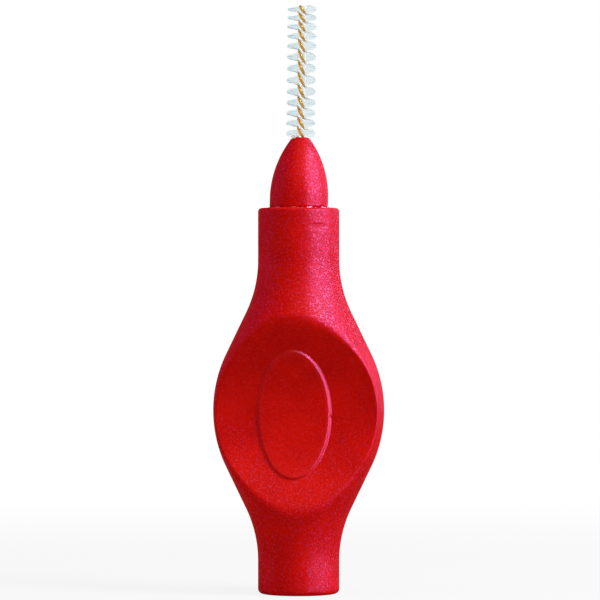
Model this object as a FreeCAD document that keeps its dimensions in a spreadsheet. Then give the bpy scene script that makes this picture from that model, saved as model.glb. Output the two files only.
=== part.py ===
import FreeCAD
import Part
import Sketcher
import math
import os

# Interdental brush: soft grip, stiff nose, twisted wire and a spiral of filaments.
# Millimetres and degrees. Z runs up the brush axis from the tail, X to the right,
# and the front thumb dish looks to -Y.

SIZES = [
    ("tail_land", 2.71, "straight stretch of the tail"),
    ("swell_reach", 12.54, "belly to the straight tail, and to the straight collar"),
    ("collar_length", 4.31, "straight stretch of the collar"),
    ("belly_height", "=tail_land + swell_reach", "height of the widest place"),
    ("grip_length", "=belly_height + swell_reach + collar_length", "tail face to collar face"),
    ("neck_radius", 3.385, "radius of collar and tail"),
    ("belly_radius", 7.13, "widest half width of the grip"),
    ("swell", "=belly_radius - neck_radius", "how far the belly stands out"),
    ("widest_arcs", "=(swell_reach ^ 2 / swell + swell) / 2", "sum of two arcs that leave no flank"),
    ("belly_share", 0.472, "share of that sum in the arc round the belly"),
    ("hollow_share", 0.836, "share of the rest in the hollow arc"),
    ("belly_arc", "=widest_arcs * belly_share", "outline radius round the belly"),
    ("hollow_arc", "=(widest_arcs - belly_arc) * hollow_share", "outline radius into collar and tail"),
    ("tail_edge", 0.4, "rounding of the tail's edge"),
    ("collar_edge", 0.3, "rounding of the collar's edge"),
    ("dish_drop", 0.35, "how far the dishes sit under the belly"),
    ("dish_height", "=belly_height - dish_drop", "height of the middle of the thumb dishes"),
    ("dish_floor", 1.75, "half thickness of the web between the dishes"),
    ("dish_sweep", 13.2, "dish radius along the grip"),
    ("dish_crown", 70.0, "dish radius across the grip"),
    ("dish_rim", 0.35, "rounding of the dish's rim"),
    ("tool_margin", 1.0, "how far a cut runs past what it cuts"),
    ("oval_width", 6.05, "raised oval, across"),
    ("oval_length", 10.65, "raised oval, along"),
    ("oval_rise", 0.2, "height of the oval over the dish"),
    ("oval_edge", 0.12, "rounding of the oval's edge"),
    ("nose_radius", 2.43, "radius of the nose at the collar"),
    ("nose_land", 0.8, "straight land that a cap grips"),
    ("nose_length", 5.88, "collar face to nose tip"),
    ("tip_radius", 0.69, "radius of the nose's tip, before rounding"),
    ("tip_edge", 0.28, "rounding round the nose's tip"),
    ("seat_step", 0.23, "step in from the nose's land to its seat in the collar"),
    ("seat_radius", "=nose_radius - seat_step", "radius of the nose's seat in the collar"),
    ("seat_depth", 0.7, "depth of the nose's seat in the collar"),
    ("stem_length", 3.8, "length of the anchor stem under the seat"),
    ("stem_radius", 1.45, "radius of the anchor stem"),
    ("barb_height", 0.75, "how far an anchor ring stands out of the stem"),
    ("barb_share", 0.18, "share of the stem that an anchor ring takes"),
    ("barb_thickness", "=stem_length * barb_share", "thickness of an anchor ring"),
    ("mould_gap", 0.02, "gap between pieces moulded on each other"),
    ("strand_radius", 0.13, "radius of the wire"),
    ("twist_gap", 0.01, "gap between the wire and a filament"),
    ("anchor_cover", 1.38, "stem left under the wire's buried bend"),
    ("brush_length", 11.0, "nose tip to the wire's end"),
    ("pivot_rise", 0.08, "height of the wire's bending point over the nose tip"),
    ("ball_gap", 0.06, "gap round the wire's bending point"),
    ("filament_diameter", 0.065, "thickness of a filament"),
    ("brush_diameter", 2.45, "length of a filament, tip to tip"),
    ("filament_gap", 0.018, "least gap between neighbouring filaments"),
    ("first_lobe", 0.41, "middle of the lowest tuft over the nose tip"),
    ("last_lobe", 0.365, "middle of the highest tuft under the wire's end"),
]
TUFTS = 13
BARBS = 2
ARCS_PER_TURN = 4

doc = FreeCAD.newDocument("InterdentalBrush")
sheet = doc.addObject("Spreadsheet::Sheet", "Sizes")
for row, (alias, value, note) in enumerate(SIZES, start=1):
    sheet.set(f"A{row}", alias)
    sheet.set(f"B{row}", str(value))
    sheet.setAlias(f"B{row}", alias)
    sheet.set(f"C{row}", note)
doc.recompute()


class Size:
    """A length that keeps its number together with the sheet formula that gives it."""

    def __init__(self, formula, number):
        self.formula = formula
        self.number = number

    def __add__(self, other):
        return Size(f"({self.formula} + {other.formula})", self.number + other.number)

    def __sub__(self, other):
        return Size(f"({self.formula} - {other.formula})", self.number - other.number)

    def __mul__(self, factor):
        return Size(f"({self.formula} * {factor})", self.number * factor)


def size(alias):
    """The size of that name in the sheet."""
    return Size(f"Sizes.{alias}", float(sheet.get(alias)))


ZERO = Size("0", 0.0)
grip_top = size("grip_length")
land_foot = grip_top + size("mould_gap")
land_top = grip_top + size("nose_land")
nose_top = grip_top + size("nose_length")
pivot_height = nose_top + size("pivot_rise")
wire_top = nose_top + size("brush_length")
seat_foot = grip_top - size("seat_depth")
stem_bottom = seat_foot - size("stem_length")
filament_radius = size("filament_diameter") * 0.5
twist_radius = size("strand_radius") + filament_radius + size("twist_gap")
wire_radius = twist_radius + size("strand_radius")
ball_radius = wire_radius + size("mould_gap")
socket_radius = ball_radius + size("ball_gap")
bore_radius = wire_radius + size("mould_gap")
anchor_top = pivot_height - socket_radius - size("mould_gap")
anchor_bend = stem_bottom + size("anchor_cover")
lobe_height = nose_top + size("first_lobe")
half_turn = (wire_top - size("last_lobe") - lobe_height) * (1 / (TUFTS - 1))


def origin_plane(body, role):
    """The body's own origin plane or axis of that role."""
    return next(item for item in body.Origin.OriginFeatures if item.Role == role)


def new_body(name):
    """An empty body whose label names its file."""
    body = doc.addObject("PartDesign::Body", name)
    body.Label = name
    return body


def new_sketch(body, name, role, height=None):
    """A sketch on one of the body's origin planes, raised to a height where one is given."""
    sketch = body.newObject("Sketcher::SketchObject", name)
    sketch.AttachmentSupport = [(origin_plane(body, role), "")]
    sketch.MapMode = "FlatFace"
    if height is not None:
        sketch.AttachmentOffset = FreeCAD.Placement(FreeCAD.Vector(0, 0, height.number), FreeCAD.Rotation())
        sketch.setExpression("AttachmentOffset.Base.z", height.formula)
    return sketch


def constrain(sketch, kind, *where, value=None):
    """Adds one constraint, bound to the sheet where it has a value."""
    if value is None:
        sketch.addConstraint(Sketcher.Constraint(kind, *where))
        return
    index = sketch.addConstraint(Sketcher.Constraint(kind, *where, value.number))
    sketch.setExpression(f"Constraints[{index}]", value.formula)


def place_point(sketch, item, end, across, up):
    """Fixes a point of a sketch at its distances from the sketch's origin."""
    for kind, axis, distance in (("DistanceX", -2, across), ("DistanceY", -1, up)):
        if distance is ZERO:
            constrain(sketch, "PointOnObject", item, end, axis)
        else:
            constrain(sketch, kind, -1, 1, item, end, value=distance)


def point(across, up):
    """A sketch point from two sizes."""
    return FreeCAD.Vector(across.number, up.number, 0)


def polygon(sketch, corners):
    """A closed outline of straight sides through corners that are each fixed by two sizes."""
    count = len(corners)
    for index, corner in enumerate(corners):
        following = corners[(index + 1) % count]
        sketch.addGeometry(Part.LineSegment(point(*corner), point(*following)))
    for index, corner in enumerate(corners):
        constrain(sketch, "Coincident", (index - 1) % count, 2, index, 1)
        place_point(sketch, index, 1, *corner)


def revolve(body, kind, name, sketch, axis=("V_Axis",), angle=360.0):
    """Turns a sketch about one of its lines, as a Revolution or a Groove."""
    feature = body.newObject(f"PartDesign::{kind}", name)
    feature.Profile = sketch
    feature.ReferenceAxis = (sketch, list(axis))
    feature.Angle = angle
    return feature


def round_edges(body, name, radius, wanted):
    """Rounds the edges of the body so far whose middle the test picks out."""
    doc.recompute()
    base = body.Tip
    names = []
    for index, edge in enumerate(base.Shape.Edges, start=1):
        middle = edge.valueAt((edge.FirstParameter + edge.LastParameter) / 2)
        if wanted(middle, edge):
            names.append(f"Edge{index}")
    feature = body.newObject("PartDesign::Fillet", name)
    feature.Base = (base, names)
    feature.Radius = radius.number
    feature.setExpression("Radius", radius.formula)
    return feature


# The soft grip.

def grip_outline(sketch):
    """Half outline of the grip: tail, hollow, flank, belly, flank, hollow, neck."""
    neck = size("neck_radius")
    belly = size("belly_radius")
    belly_arc = size("belly_arc")
    hollow_arc = size("hollow_arc")
    height = size("belly_height")
    low_end = size("tail_land")
    high_end = height + size("swell_reach")
    reach = size("swell_reach").number
    swell = size("swell").number
    spread = 2 * (belly_arc.number + hollow_arc.number) - swell
    slope = 2 * math.atan((reach - math.sqrt(reach**2 - swell * spread)) / spread)
    centre_x = belly.number - belly_arc.number
    shoulder_x = centre_x + belly_arc.number * math.cos(slope)
    shoulder_rise = belly_arc.number * math.sin(slope)
    foot_x = neck.number + hollow_arc.number * (1 - math.cos(slope))
    foot_rise = reach - hollow_arc.number * math.sin(slope)

    def spot(across, rise):
        return FreeCAD.Vector(across, height.number + rise, 0)

    def arc(centre, radius, first, last):
        circle = Part.Circle(centre, FreeCAD.Vector(0, 0, 1), radius.number)
        return Part.ArcOfCircle(circle, first, last)

    hollow_x = neck.number + hollow_arc.number
    tail_corner = point(neck, ZERO)
    neck_corner = point(neck, grip_top)
    sketch.addGeometry([
        Part.LineSegment(point(ZERO, ZERO), tail_corner),
        Part.LineSegment(tail_corner, point(neck, low_end)),
        arc(spot(hollow_x, -reach), hollow_arc, math.pi - slope, math.pi),
        Part.LineSegment(spot(foot_x, -foot_rise), spot(shoulder_x, -shoulder_rise)),
        arc(spot(centre_x, 0), belly_arc, -slope, slope),
        Part.LineSegment(spot(shoulder_x, shoulder_rise), spot(foot_x, foot_rise)),
        arc(spot(hollow_x, reach), hollow_arc, math.pi, math.pi + slope),
        Part.LineSegment(point(neck, high_end), neck_corner),
        Part.LineSegment(neck_corner, point(ZERO, grip_top)),
        Part.LineSegment(point(ZERO, grip_top), point(ZERO, ZERO)),
    ], False)
    tail, tail_wall, low_hollow, low_flank, bulge, high_flank, high_hollow, neck_wall, top, spine = range(10)
    for first, first_end, second, second_end in (
        (tail_wall, 2, low_hollow, 2),
        (low_hollow, 1, low_flank, 1),
        (low_flank, 2, bulge, 1),
        (bulge, 2, high_flank, 1),
        (high_flank, 2, high_hollow, 2),
        (high_hollow, 1, neck_wall, 1),
    ):
        constrain(sketch, "Tangent", first, first_end, second, second_end)
    for first, second in ((tail, tail_wall), (neck_wall, top), (top, spine), (spine, tail)):
        constrain(sketch, "Coincident", first, 2, second, 1)
    for upright in (tail_wall, neck_wall, spine):
        constrain(sketch, "Vertical", upright)
    constrain(sketch, "Coincident", tail, 1, -1, 1)
    constrain(sketch, "Horizontal", tail)
    constrain(sketch, "Horizontal", top)
    constrain(sketch, "DistanceX", -1, 1, tail, 2, value=neck)
    constrain(sketch, "DistanceX", -1, 1, neck_wall, 2, value=neck)
    constrain(sketch, "DistanceY", -1, 1, top, 2, value=grip_top)
    constrain(sketch, "DistanceX", bulge, 3, -1, 1, value=belly_arc - belly)
    constrain(sketch, "DistanceY", -1, 1, bulge, 3, value=height)
    constrain(sketch, "Radius", bulge, value=belly_arc)
    for hollow in (low_hollow, high_hollow):
        constrain(sketch, "Radius", hollow, value=hollow_arc)
    constrain(sketch, "DistanceY", -1, 1, tail_wall, 2, value=low_end)
    constrain(sketch, "DistanceY", -1, 1, neck_wall, 1, value=high_end)


def dish_section(sketch, rise):
    """Half section of the barrel that hollows a dish, at a rise over the dish's floor.

    It is drawn on the barrel's far side, so that the seam of the turned face misses the grip.
    """
    sweep = size("dish_sweep")
    reach = size("belly_radius") + size("tool_margin")
    crown = size("dish_crown") - rise
    axis_depth = size("dish_floor") + sweep
    crown_offset = size("dish_crown") - sweep
    half_angle = math.asin(reach.number / crown.number)
    centre = FreeCAD.Vector(0, crown_offset.number - axis_depth.number, 0)
    circle = Part.Circle(centre, FreeCAD.Vector(0, 0, 1), crown.number)
    arc = Part.ArcOfCircle(circle, -math.pi / 2 - half_angle, -math.pi / 2 + half_angle)
    left_foot = FreeCAD.Vector(-reach.number, -axis_depth.number, 0)
    right_foot = FreeCAD.Vector(reach.number, -axis_depth.number, 0)
    sketch.addGeometry([
        arc,
        Part.LineSegment(arc.EndPoint, right_foot),
        Part.LineSegment(right_foot, left_foot),
        Part.LineSegment(left_foot, arc.StartPoint),
    ], False)
    floor_arc, right, axis, left = range(4)
    for first, second in ((floor_arc, right), (right, axis), (axis, left), (left, floor_arc)):
        constrain(sketch, "Coincident", first, 2, second, 1)
    constrain(sketch, "Vertical", left)
    constrain(sketch, "Vertical", right)
    constrain(sketch, "Horizontal", axis)
    constrain(sketch, "PointOnObject", floor_arc, 3, -2)
    constrain(sketch, "Radius", floor_arc, value=crown)
    constrain(sketch, "DistanceY", axis, 1, floor_arc, 3, value=crown_offset)
    constrain(sketch, "DistanceY", axis, 1, -1, 1, value=axis_depth)
    constrain(sketch, "DistanceX", axis, 2, -1, 1, value=reach)
    constrain(sketch, "DistanceX", -1, 1, axis, 1, value=reach)


def oval_outline(sketch):
    """Upright ellipse of the raised oval."""
    half_length = size("oval_length").number / 2
    half_width = size("oval_width").number / 2
    middle = FreeCAD.Vector(0, size("dish_height").number, 0)
    end = middle + FreeCAD.Vector(0, half_length, 0)
    side = middle + FreeCAD.Vector(half_width, 0, 0)
    oval = sketch.addGeometry(Part.Ellipse(end, side, middle), False)
    sketch.exposeInternalGeometry(oval)
    long_axis, short_axis = oval + 1, oval + 2
    constrain(sketch, "PointOnObject", oval, 3, -2)
    constrain(sketch, "DistanceY", -1, 1, oval, 3, value=size("dish_height"))
    constrain(sketch, "Vertical", long_axis)
    constrain(sketch, "Distance", long_axis, value=size("oval_length"))
    constrain(sketch, "Distance", short_axis, value=size("oval_width"))


def stem_corners(gap):
    """Corners of the anchor stem with its rings, up to the ledge of its seat, grown by a gap."""
    stem = size("stem_radius") + gap
    barb = stem + size("barb_height")
    length = size("stem_length")
    half_ring = size("barb_thickness") * 0.5
    foot = stem_bottom - gap
    corners = [(ZERO, foot), (stem, foot)]
    for index in range(BARBS):
        middle = stem_bottom + length * ((index + 0.5) / BARBS)
        ring_foot = middle - half_ring - gap
        ring_top = middle + half_ring + gap
        corners += [(stem, ring_foot), (barb, ring_foot), (barb, ring_top), (stem, ring_top)]
    ledge = seat_foot - gap
    return corners + [(stem, ledge), (size("seat_radius") + gap, ledge)]


def dish_depth(place, rise):
    """How far a place stands off the surface at a rise over the nearer dish's floor."""
    crown = size("dish_crown").number
    sweep = size("dish_sweep").number
    barrel = sweep - crown + math.sqrt((crown - rise) ** 2 - place.x**2)
    axis_y = size("dish_floor").number + sweep
    reach = math.hypot(axis_y - abs(place.y), place.z - size("dish_height").number)
    return abs(reach - barrel)


def in_oval(place, margin):
    """Whether a place lies over the oval, within a margin on its outline."""
    across = place.x / (size("oval_width").number / 2)
    along = (place.z - size("dish_height").number) / (size("oval_length").number / 2)
    return math.hypot(across, along) < 1 + margin


def make_grip():
    """Soft grip with two thumb dishes, a raised oval in each and the socket for the nose."""
    body = new_body("grip_handle")
    outline = new_sketch(body, "GripOutline", "XZ_Plane")
    grip_outline(outline)
    revolve(body, "Revolution", "GripBlank", outline)

    dish_sketch = new_sketch(body, "DishSection", "XY_Plane", size("dish_height"))
    dish_section(dish_sketch, ZERO)
    dish = revolve(body, "Groove", "Dish", dish_sketch, axis=("Edge3",))

    oval_sketch = new_sketch(body, "OvalOutline", "XZ_Plane")
    oval_outline(oval_sketch)
    oval = body.newObject("PartDesign::Pad", "Oval")
    oval.Profile = oval_sketch
    oval.setExpression("Length", (size("dish_floor") + size("neck_radius")).formula)

    face_sketch = new_sketch(body, "OvalFaceSection", "XY_Plane", size("dish_height"))
    dish_section(face_sketch, size("oval_rise"))
    oval_face = revolve(body, "Groove", "OvalFace", face_sketch, axis=("Edge3",))

    doc.recompute()
    back = body.newObject("PartDesign::Mirrored", "BackDish")
    back.Originals = [dish, oval, oval_face]
    back.MirrorPlane = (origin_plane(body, "XZ_Plane"), [""])
    body.Tip = back

    gap = size("mould_gap")
    socket_sketch = new_sketch(body, "SocketSection", "XZ_Plane")
    mouth = grip_top + size("tool_margin")
    polygon(socket_sketch, stem_corners(gap) + [(size("seat_radius") + gap, mouth), (ZERO, mouth)])
    revolve(body, "Groove", "NoseSocket", socket_sketch)

    outside = size("neck_radius").number
    top = grip_top.number
    near = 1e-3

    def on_level(edge, level):
        box = edge.BoundBox
        return abs(box.ZMin - level) < near and abs(box.ZMax - level) < near and box.XMax > outside - near

    def on_rim(middle, edge):
        return dish_depth(middle, 0.0) < near and not in_oval(middle, 0.02)

    def on_oval(middle, edge):
        return dish_depth(middle, size("oval_rise").number) < near and in_oval(middle, 0.02)

    round_edges(body, "TailEdge", size("tail_edge"), lambda middle, edge: on_level(edge, 0.0))
    round_edges(body, "CollarEdge", size("collar_edge"), lambda middle, edge: on_level(edge, top))
    round_edges(body, "DishRim", size("dish_rim"), on_rim)
    round_edges(body, "OvalEdge", size("oval_edge"), on_oval)
    return body


# The stiff nose and the wire's buried end.

def nose_outline(sketch):
    """Half outline of the bullet nose over its straight land."""
    base = size("nose_radius")
    rise = nose_top.number - land_top.number
    draw_in = base.number - size("tip_radius").number
    bend = (rise**2 + draw_in**2) / (2 * draw_in)
    centre = FreeCAD.Vector(base.number - bend, land_top.number, 0)
    arc = Part.ArcOfCircle(Part.Circle(centre, FreeCAD.Vector(0, 0, 1), bend), 0, math.asin(rise / bend))
    sketch.addGeometry([
        Part.LineSegment(point(ZERO, land_top), arc.StartPoint),
        arc,
        Part.LineSegment(arc.EndPoint, point(ZERO, nose_top)),
        Part.LineSegment(point(ZERO, nose_top), point(ZERO, land_top)),
    ], False)
    foot, side, tip, spine = range(4)
    for first, second in ((foot, side), (side, tip), (tip, spine), (spine, foot)):
        constrain(sketch, "Coincident", first, 2, second, 1)
    place_point(sketch, foot, 1, ZERO, land_top)
    place_point(sketch, foot, 2, base, land_top)
    place_point(sketch, spine, 1, ZERO, nose_top)
    constrain(sketch, "Horizontal", tip)
    constrain(sketch, "Horizontal", side, 3, side, 1)
    constrain(sketch, "DistanceX", -1, 1, side, 2, value=size("tip_radius"))


def hollow(body, kind, name, height, **measures):
    """Cuts a cylinder or a sphere out of the body, centred on the axis at a height."""
    feature = body.newObject(f"PartDesign::{kind}", name)
    feature.AttachmentSupport = [(origin_plane(body, "XY_Plane"), "")]
    feature.MapMode = "FlatFace"
    feature.setExpression("AttachmentOffset.Base.z", height.formula)
    for measure, value in measures.items():
        feature.setExpression(measure, value.formula)
    return feature


def make_nose():
    """Stiff nose with its ringed anchor stem, the wire's bore and the seat at the tip."""
    body = new_body("nose_core")
    stem_sketch = new_sketch(body, "StemOutline", "XZ_Plane")
    seat = size("seat_radius")
    land = size("nose_radius")
    land_corners = [(seat, land_foot), (land, land_foot), (land, land_top), (ZERO, land_top)]
    polygon(stem_sketch, stem_corners(ZERO) + land_corners)
    revolve(body, "Revolution", "Stem", stem_sketch)
    nose_sketch = new_sketch(body, "NoseOutline", "XZ_Plane")
    nose_outline(nose_sketch)
    revolve(body, "Revolution", "Nose", nose_sketch)

    top = nose_top.number

    def on_tip(middle, edge):
        return abs(middle.z - top) < 1e-3 and len(edge.Vertexes) == 1

    round_edges(body, "TipEdge", size("tip_edge"), on_tip)
    bore_bottom = anchor_bend - bore_radius
    bore_depth = nose_top - bore_bottom
    hollow(body, "SubtractiveCylinder", "WireBore", bore_bottom, Radius=bore_radius, Height=bore_depth)
    doc.recompute()
    hollow(body, "SubtractiveSphere", "BendSeat", pivot_height, Radius=socket_radius)
    return body


def make_anchor():
    """The wire's buried end: two legs and the bend that joins them."""
    body = new_body("wire_anchor")
    leg_sketch = new_sketch(body, "LegSections", "XY_Plane", anchor_top)
    bend_sketch = new_sketch(body, "BendSection", "XY_Plane", anchor_bend)
    strand = size("strand_radius")
    for sketch, sides in ((leg_sketch, (1, -1)), (bend_sketch, (1,))):
        for index, side in enumerate(sides):
            middle = FreeCAD.Vector(side * twist_radius.number, 0, 0)
            sketch.addGeometry(Part.Circle(middle, FreeCAD.Vector(0, 0, 1), strand.number), False)
            constrain(sketch, "PointOnObject", index, 3, -1)
            constrain(sketch, "Radius", index, value=strand)
            ends = (-1, 1, index, 3) if side > 0 else (index, 3, -1, 1)
            constrain(sketch, "DistanceX", *ends, value=twist_radius)
    legs = body.newObject("PartDesign::Pad", "Legs")
    legs.Profile = leg_sketch
    legs.Reversed = True
    legs.setExpression("Length", (anchor_top - anchor_bend).formula)
    revolve(body, "Revolution", "Bend", bend_sketch, angle=180.0)
    return body


# The free wire and its filaments.

def twist_angle(height):
    """Direction of the filaments at a height: along X in the middle of a tuft, turning left-handed."""
    return -math.pi * (height - lobe_height.number) / half_turn.number


def strand_point(height, side):
    """Middle of a strand at a height, and the strand's direction there."""
    radius = twist_radius.number
    turn = twist_angle(height) + side * math.pi / 2
    climb = half_turn.number / math.pi
    place = FreeCAD.Vector(radius * math.cos(turn), radius * math.sin(turn), height)
    heading = FreeCAD.Vector(radius * math.sin(turn), -radius * math.cos(turn), climb)
    return place, heading.normalize()


def arc_edge(start, corner, end):
    """The arc that leaves start towards corner and arrives at end from it."""
    middle = (start + end) * 0.5
    half_turn = (corner - start).getAngle(end - start)
    share = math.tan(half_turn / 2) / math.tan(half_turn)
    return Part.Arc(start, middle + (corner - middle) * share, end).toShape()


def biarc(first, second):
    """Two tangent arcs from one place and direction to another."""
    start, start_heading = first
    end, end_heading = second
    chord = end - start
    both = start_heading + end_heading
    spread = 2 * (1 - start_heading.dot(end_heading))
    along = chord.dot(both)
    reach = (math.sqrt(along**2 + spread * chord.dot(chord)) - along) / spread
    start_corner = start + start_heading * reach
    end_corner = end - end_heading * reach
    joint = (start_corner + end_corner) * 0.5
    return [arc_edge(start, start_corner, joint), arc_edge(joint, end_corner, end)]


def make_strand(side):
    """One strand of the twisted pair, from the bending point to the wire's end."""
    bottom = pivot_height.number
    length = wire_top.number - bottom
    steps = math.ceil(ARCS_PER_TURN * length / (2 * half_turn.number))
    stations = [strand_point(bottom + length * step / steps, side) for step in range(steps + 1)]
    edges = [edge for pair in zip(stations, stations[1:]) for edge in biarc(*pair)]
    path = Part.Wire(edges)
    start, heading = stations[0]
    section = Part.Wire(Part.Circle(start, heading, size("strand_radius").number).toShape())
    strand = path.makePipeShell([section], True, False)
    expected = math.pi * size("strand_radius").number ** 2 * path.Length
    print(f"strand volume {strand.Volume:.4f}, section times length {expected:.4f}")
    return strand


def make_feature(name, shape):
    """A sub-part whose shape is worked out here."""
    feature = doc.addObject("Part::Feature", name)
    feature.Label = name
    feature.Shape = shape
    feature.Placement = FreeCAD.Placement()
    return feature


def make_stem():
    """Free twisted pair on the ball that stands for the wire's bending point."""
    ball = Part.makeSphere(ball_radius.number, FreeCAD.Vector(0, 0, pivot_height.number))
    return make_feature("wire_stem", ball.fuse([make_strand(1), make_strand(-1)]).removeSplitter())


def make_filament(height):
    """One filament, held at its middle between the strands."""
    turn = twist_angle(height)
    heading = FreeCAD.Vector(math.cos(turn), math.sin(turn), 0)
    length = size("brush_diameter").number
    start = FreeCAD.Vector(0, 0, height) - heading * (length / 2)
    return Part.makeCylinder(filament_radius.number, length, start, heading)


def make_tuft(index):
    """The filaments of one half turn of the wire, clear of the ball below and of the wire's end."""
    thickness = size("filament_diameter").number
    count = int(half_turn.number / (thickness + size("filament_gap").number))
    middle = lobe_height.number + index * half_turn.number
    lowest = pivot_height.number + ball_radius.number + thickness
    highest = wire_top.number - thickness
    steps = [(step + 0.5) / count - 0.5 for step in range(count)]
    heights = [middle + step * half_turn.number for step in steps]
    filaments = [make_filament(height) for height in heights if lowest < height < highest]
    return make_feature(f"filament_tuft_{index + 1:02d}", Part.makeCompound(filaments))


sub_parts = [make_grip(), make_nose(), make_anchor(), make_stem()]
sub_parts += [make_tuft(index) for index in range(TUFTS)]
doc.recompute()

for item in doc.Objects:
    if "Invalid" in item.State or "Error" in item.State:
        raise RuntimeError(f"{item.Name} failed: {item.State}")
for sub_part in sub_parts:
    if sub_part.Shape.isNull() or not sub_part.Shape.isValid():
        raise RuntimeError(f"{sub_part.Label} has no valid shape")

os.makedirs("parts", exist_ok=True)
for sub_part in sub_parts:
    sub_part.Shape.exportStep(f"parts/{sub_part.Label}.step")
    print(f"{sub_part.Label}: {len(sub_part.Shape.Solids)} solids, {sub_part.Shape.Volume:.3f} mm3")
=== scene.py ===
import logging
import math
import random
from dataclasses import dataclass, field
from enum import Enum

import bpy
import numpy as np
from mathutils import Matrix, Vector


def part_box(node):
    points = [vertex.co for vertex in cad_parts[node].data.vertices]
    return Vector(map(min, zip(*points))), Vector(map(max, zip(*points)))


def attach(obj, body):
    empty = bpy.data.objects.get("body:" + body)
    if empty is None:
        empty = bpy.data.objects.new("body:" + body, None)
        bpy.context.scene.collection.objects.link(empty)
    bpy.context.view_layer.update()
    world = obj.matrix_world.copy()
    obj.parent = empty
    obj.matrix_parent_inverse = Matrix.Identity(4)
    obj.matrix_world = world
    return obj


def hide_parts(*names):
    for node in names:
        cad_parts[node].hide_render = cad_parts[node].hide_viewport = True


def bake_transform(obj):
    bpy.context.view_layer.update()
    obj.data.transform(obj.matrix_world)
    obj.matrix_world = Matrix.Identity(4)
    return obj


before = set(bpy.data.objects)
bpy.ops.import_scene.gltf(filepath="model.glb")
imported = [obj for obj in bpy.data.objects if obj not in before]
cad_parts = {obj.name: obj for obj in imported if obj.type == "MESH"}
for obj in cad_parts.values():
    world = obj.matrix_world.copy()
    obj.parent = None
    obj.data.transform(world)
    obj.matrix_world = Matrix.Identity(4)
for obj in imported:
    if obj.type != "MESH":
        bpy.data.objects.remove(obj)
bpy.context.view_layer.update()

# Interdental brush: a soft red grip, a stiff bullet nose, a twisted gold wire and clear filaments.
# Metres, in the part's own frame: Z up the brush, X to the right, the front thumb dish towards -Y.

MM = 0.001
LOG = logging.getLogger("interdental_brush")

END_SHARE = "end_share"
SMOOTH_SHARE = "smooth_share"
EDGE_SHARE = "edge_share"

MERGE_DISTANCE = 0.002 * MM
SMOOTH_ANGLE = 50.0

Outline = list[tuple[float, float]]
Colour = tuple[float, float, float, float]
Socket = bpy.types.NodeSocket
Entries = dict[str | int, object]


class Face(Enum):
    """The side of the grip that a dish or an oval is on, as the sign of its Y."""

    FRONT = -1
    BACK = 1


class Rides(Enum):
    """The bodies of the frame that pieces move with."""

    GRIP = "grip"
    NOSE = "nose"
    BRUSH = "brush"


def object_mode_alone() -> None:
    """Leaves edit mode and deselects everything."""
    if bpy.context.object is not None and bpy.context.object.mode != "OBJECT":
        bpy.ops.object.mode_set(mode="OBJECT")
    bpy.ops.object.select_all(action="DESELECT")


def select_alone(piece: bpy.types.Object) -> None:
    """Leaves edit mode, selects only the piece and makes it the active one."""
    object_mode_alone()
    piece.select_set(True)
    bpy.context.view_layer.objects.active = piece


def arc_points(centre: tuple[float, float], radius: float, first: float, last: float, steps: int) -> Outline:
    """Points along an arc of a half outline.

    Args:
        centre: Radius and height of the arc's middle.
        radius: Radius of the arc.
        first: Angle of the first point, in degrees from the outward direction.
        last: Angle of the last point.
        steps: Number of steps between them.

    Returns:
        The points from first to last.
    """
    angles = [math.radians(first + (last - first) * step / steps) for step in range(steps + 1)]
    return [(centre[0] + radius * math.cos(angle), centre[1] + radius * math.sin(angle)) for angle in angles]


def spaced_line(start: tuple[float, float], end: tuple[float, float], step: float) -> Outline:
    """Points along a straight stretch of a half outline, without its two ends.

    Args:
        start: Radius and height where the stretch begins.
        end: Radius and height where it ends.
        step: Largest distance between points.

    Returns:
        The points between the two ends.
    """
    count = max(1, math.ceil(math.dist(start, end) / step))
    out = (end[0] - start[0]) / count
    up = (end[1] - start[1]) / count
    return [(start[0] + out * index, start[1] + up * index) for index in range(1, count)]


def lathe(name: str, outline: Outline, steps: int) -> bpy.types.Object:
    """Draws a half outline point by point and spins it about Z.

    Args:
        name: Name of the new piece.
        outline: Radius and height of each point, from one end of the axis to the other.
        steps: Number of steps in the full turn.

    Returns:
        The closed piece, with its place in its mesh.
    """
    object_mode_alone()
    bpy.ops.mesh.primitive_plane_add(size=MM, location=(0, 0, 0))
    piece = bpy.context.object
    piece.name = name
    bpy.ops.object.mode_set(mode="EDIT")
    bpy.ops.mesh.select_all(action="SELECT")
    bpy.ops.mesh.merge(type="CENTER")
    start_radius, start_height = outline[0]
    bpy.ops.transform.translate(value=(start_radius, 0, start_height))
    for (radius, height), (next_radius, next_height) in zip(outline, outline[1:]):
        step = (next_radius - radius, 0, next_height - height)
        bpy.ops.mesh.extrude_region_move(TRANSFORM_OT_translate={"value": step})
    bpy.ops.mesh.select_all(action="SELECT")
    bpy.ops.mesh.spin(steps=steps, angle=2 * math.pi, center=(0, 0, 0), axis=(0, 0, 1))
    bpy.ops.mesh.select_all(action="SELECT")
    bpy.ops.mesh.remove_doubles(threshold=MERGE_DISTANCE)
    bpy.ops.mesh.normals_make_consistent(inside=False)
    bpy.ops.object.mode_set(mode="OBJECT")
    return piece


def mesh_points(piece: bpy.types.Object) -> np.ndarray:
    """The piece's vertices as rows of X, Y and Z."""
    points = np.empty(len(piece.data.vertices) * 3)
    piece.data.vertices.foreach_get("co", points)
    return points.reshape(-1, 3)


def move_points(piece: bpy.types.Object, points: np.ndarray) -> None:
    """Puts the piece's vertices at new places."""
    piece.data.vertices.foreach_set("co", points.ravel())
    piece.data.update()


def smooth_minimum(first: np.ndarray, second: np.ndarray, softness: np.ndarray) -> np.ndarray:
    """The smaller of two distances, rounded where they cross.

    Args:
        first: One set of distances.
        second: The other set.
        softness: How far from the crossing the rounding reaches.

    Returns:
        The rounded smaller distances.
    """
    near = np.clip(softness - np.abs(first - second), 0, None) / softness
    return np.minimum(first, second) - near**2 * softness / 4


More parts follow.
